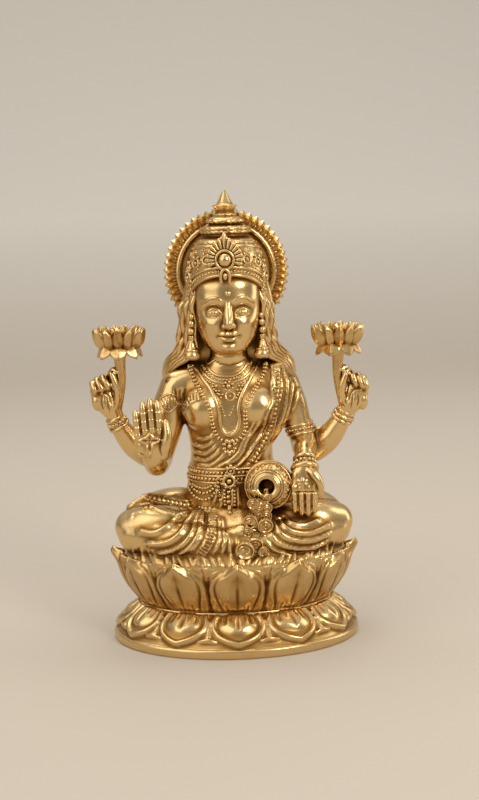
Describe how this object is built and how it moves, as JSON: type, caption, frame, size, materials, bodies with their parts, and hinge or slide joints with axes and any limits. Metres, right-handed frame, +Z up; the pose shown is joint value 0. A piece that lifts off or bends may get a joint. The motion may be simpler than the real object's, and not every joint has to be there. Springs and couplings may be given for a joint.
{
  "type": "lakshmi figure",
  "caption": "Small cast brass goddess with raised arms, seated cross-legged on a double lotus plinth, with rayed halo, lotus blossoms and a pot of coins.",
  "frame": {"origin": "middle of the plinth's flat underside", "axes": "+Z up from the underside to the tip of the crown, +X towards the figure's own left, the side of the pot, and -Y the way the figure faces"},
  "size_m": [0.0752, 0.0512, 0.1249],
  "materials": {
    "polished_brass": "polished cast brass, a little darker in the recesses"
  },
  "bodies": {
    "root": {"lakshmi_figure": "polished_brass"}
  },
  "joints": []
}
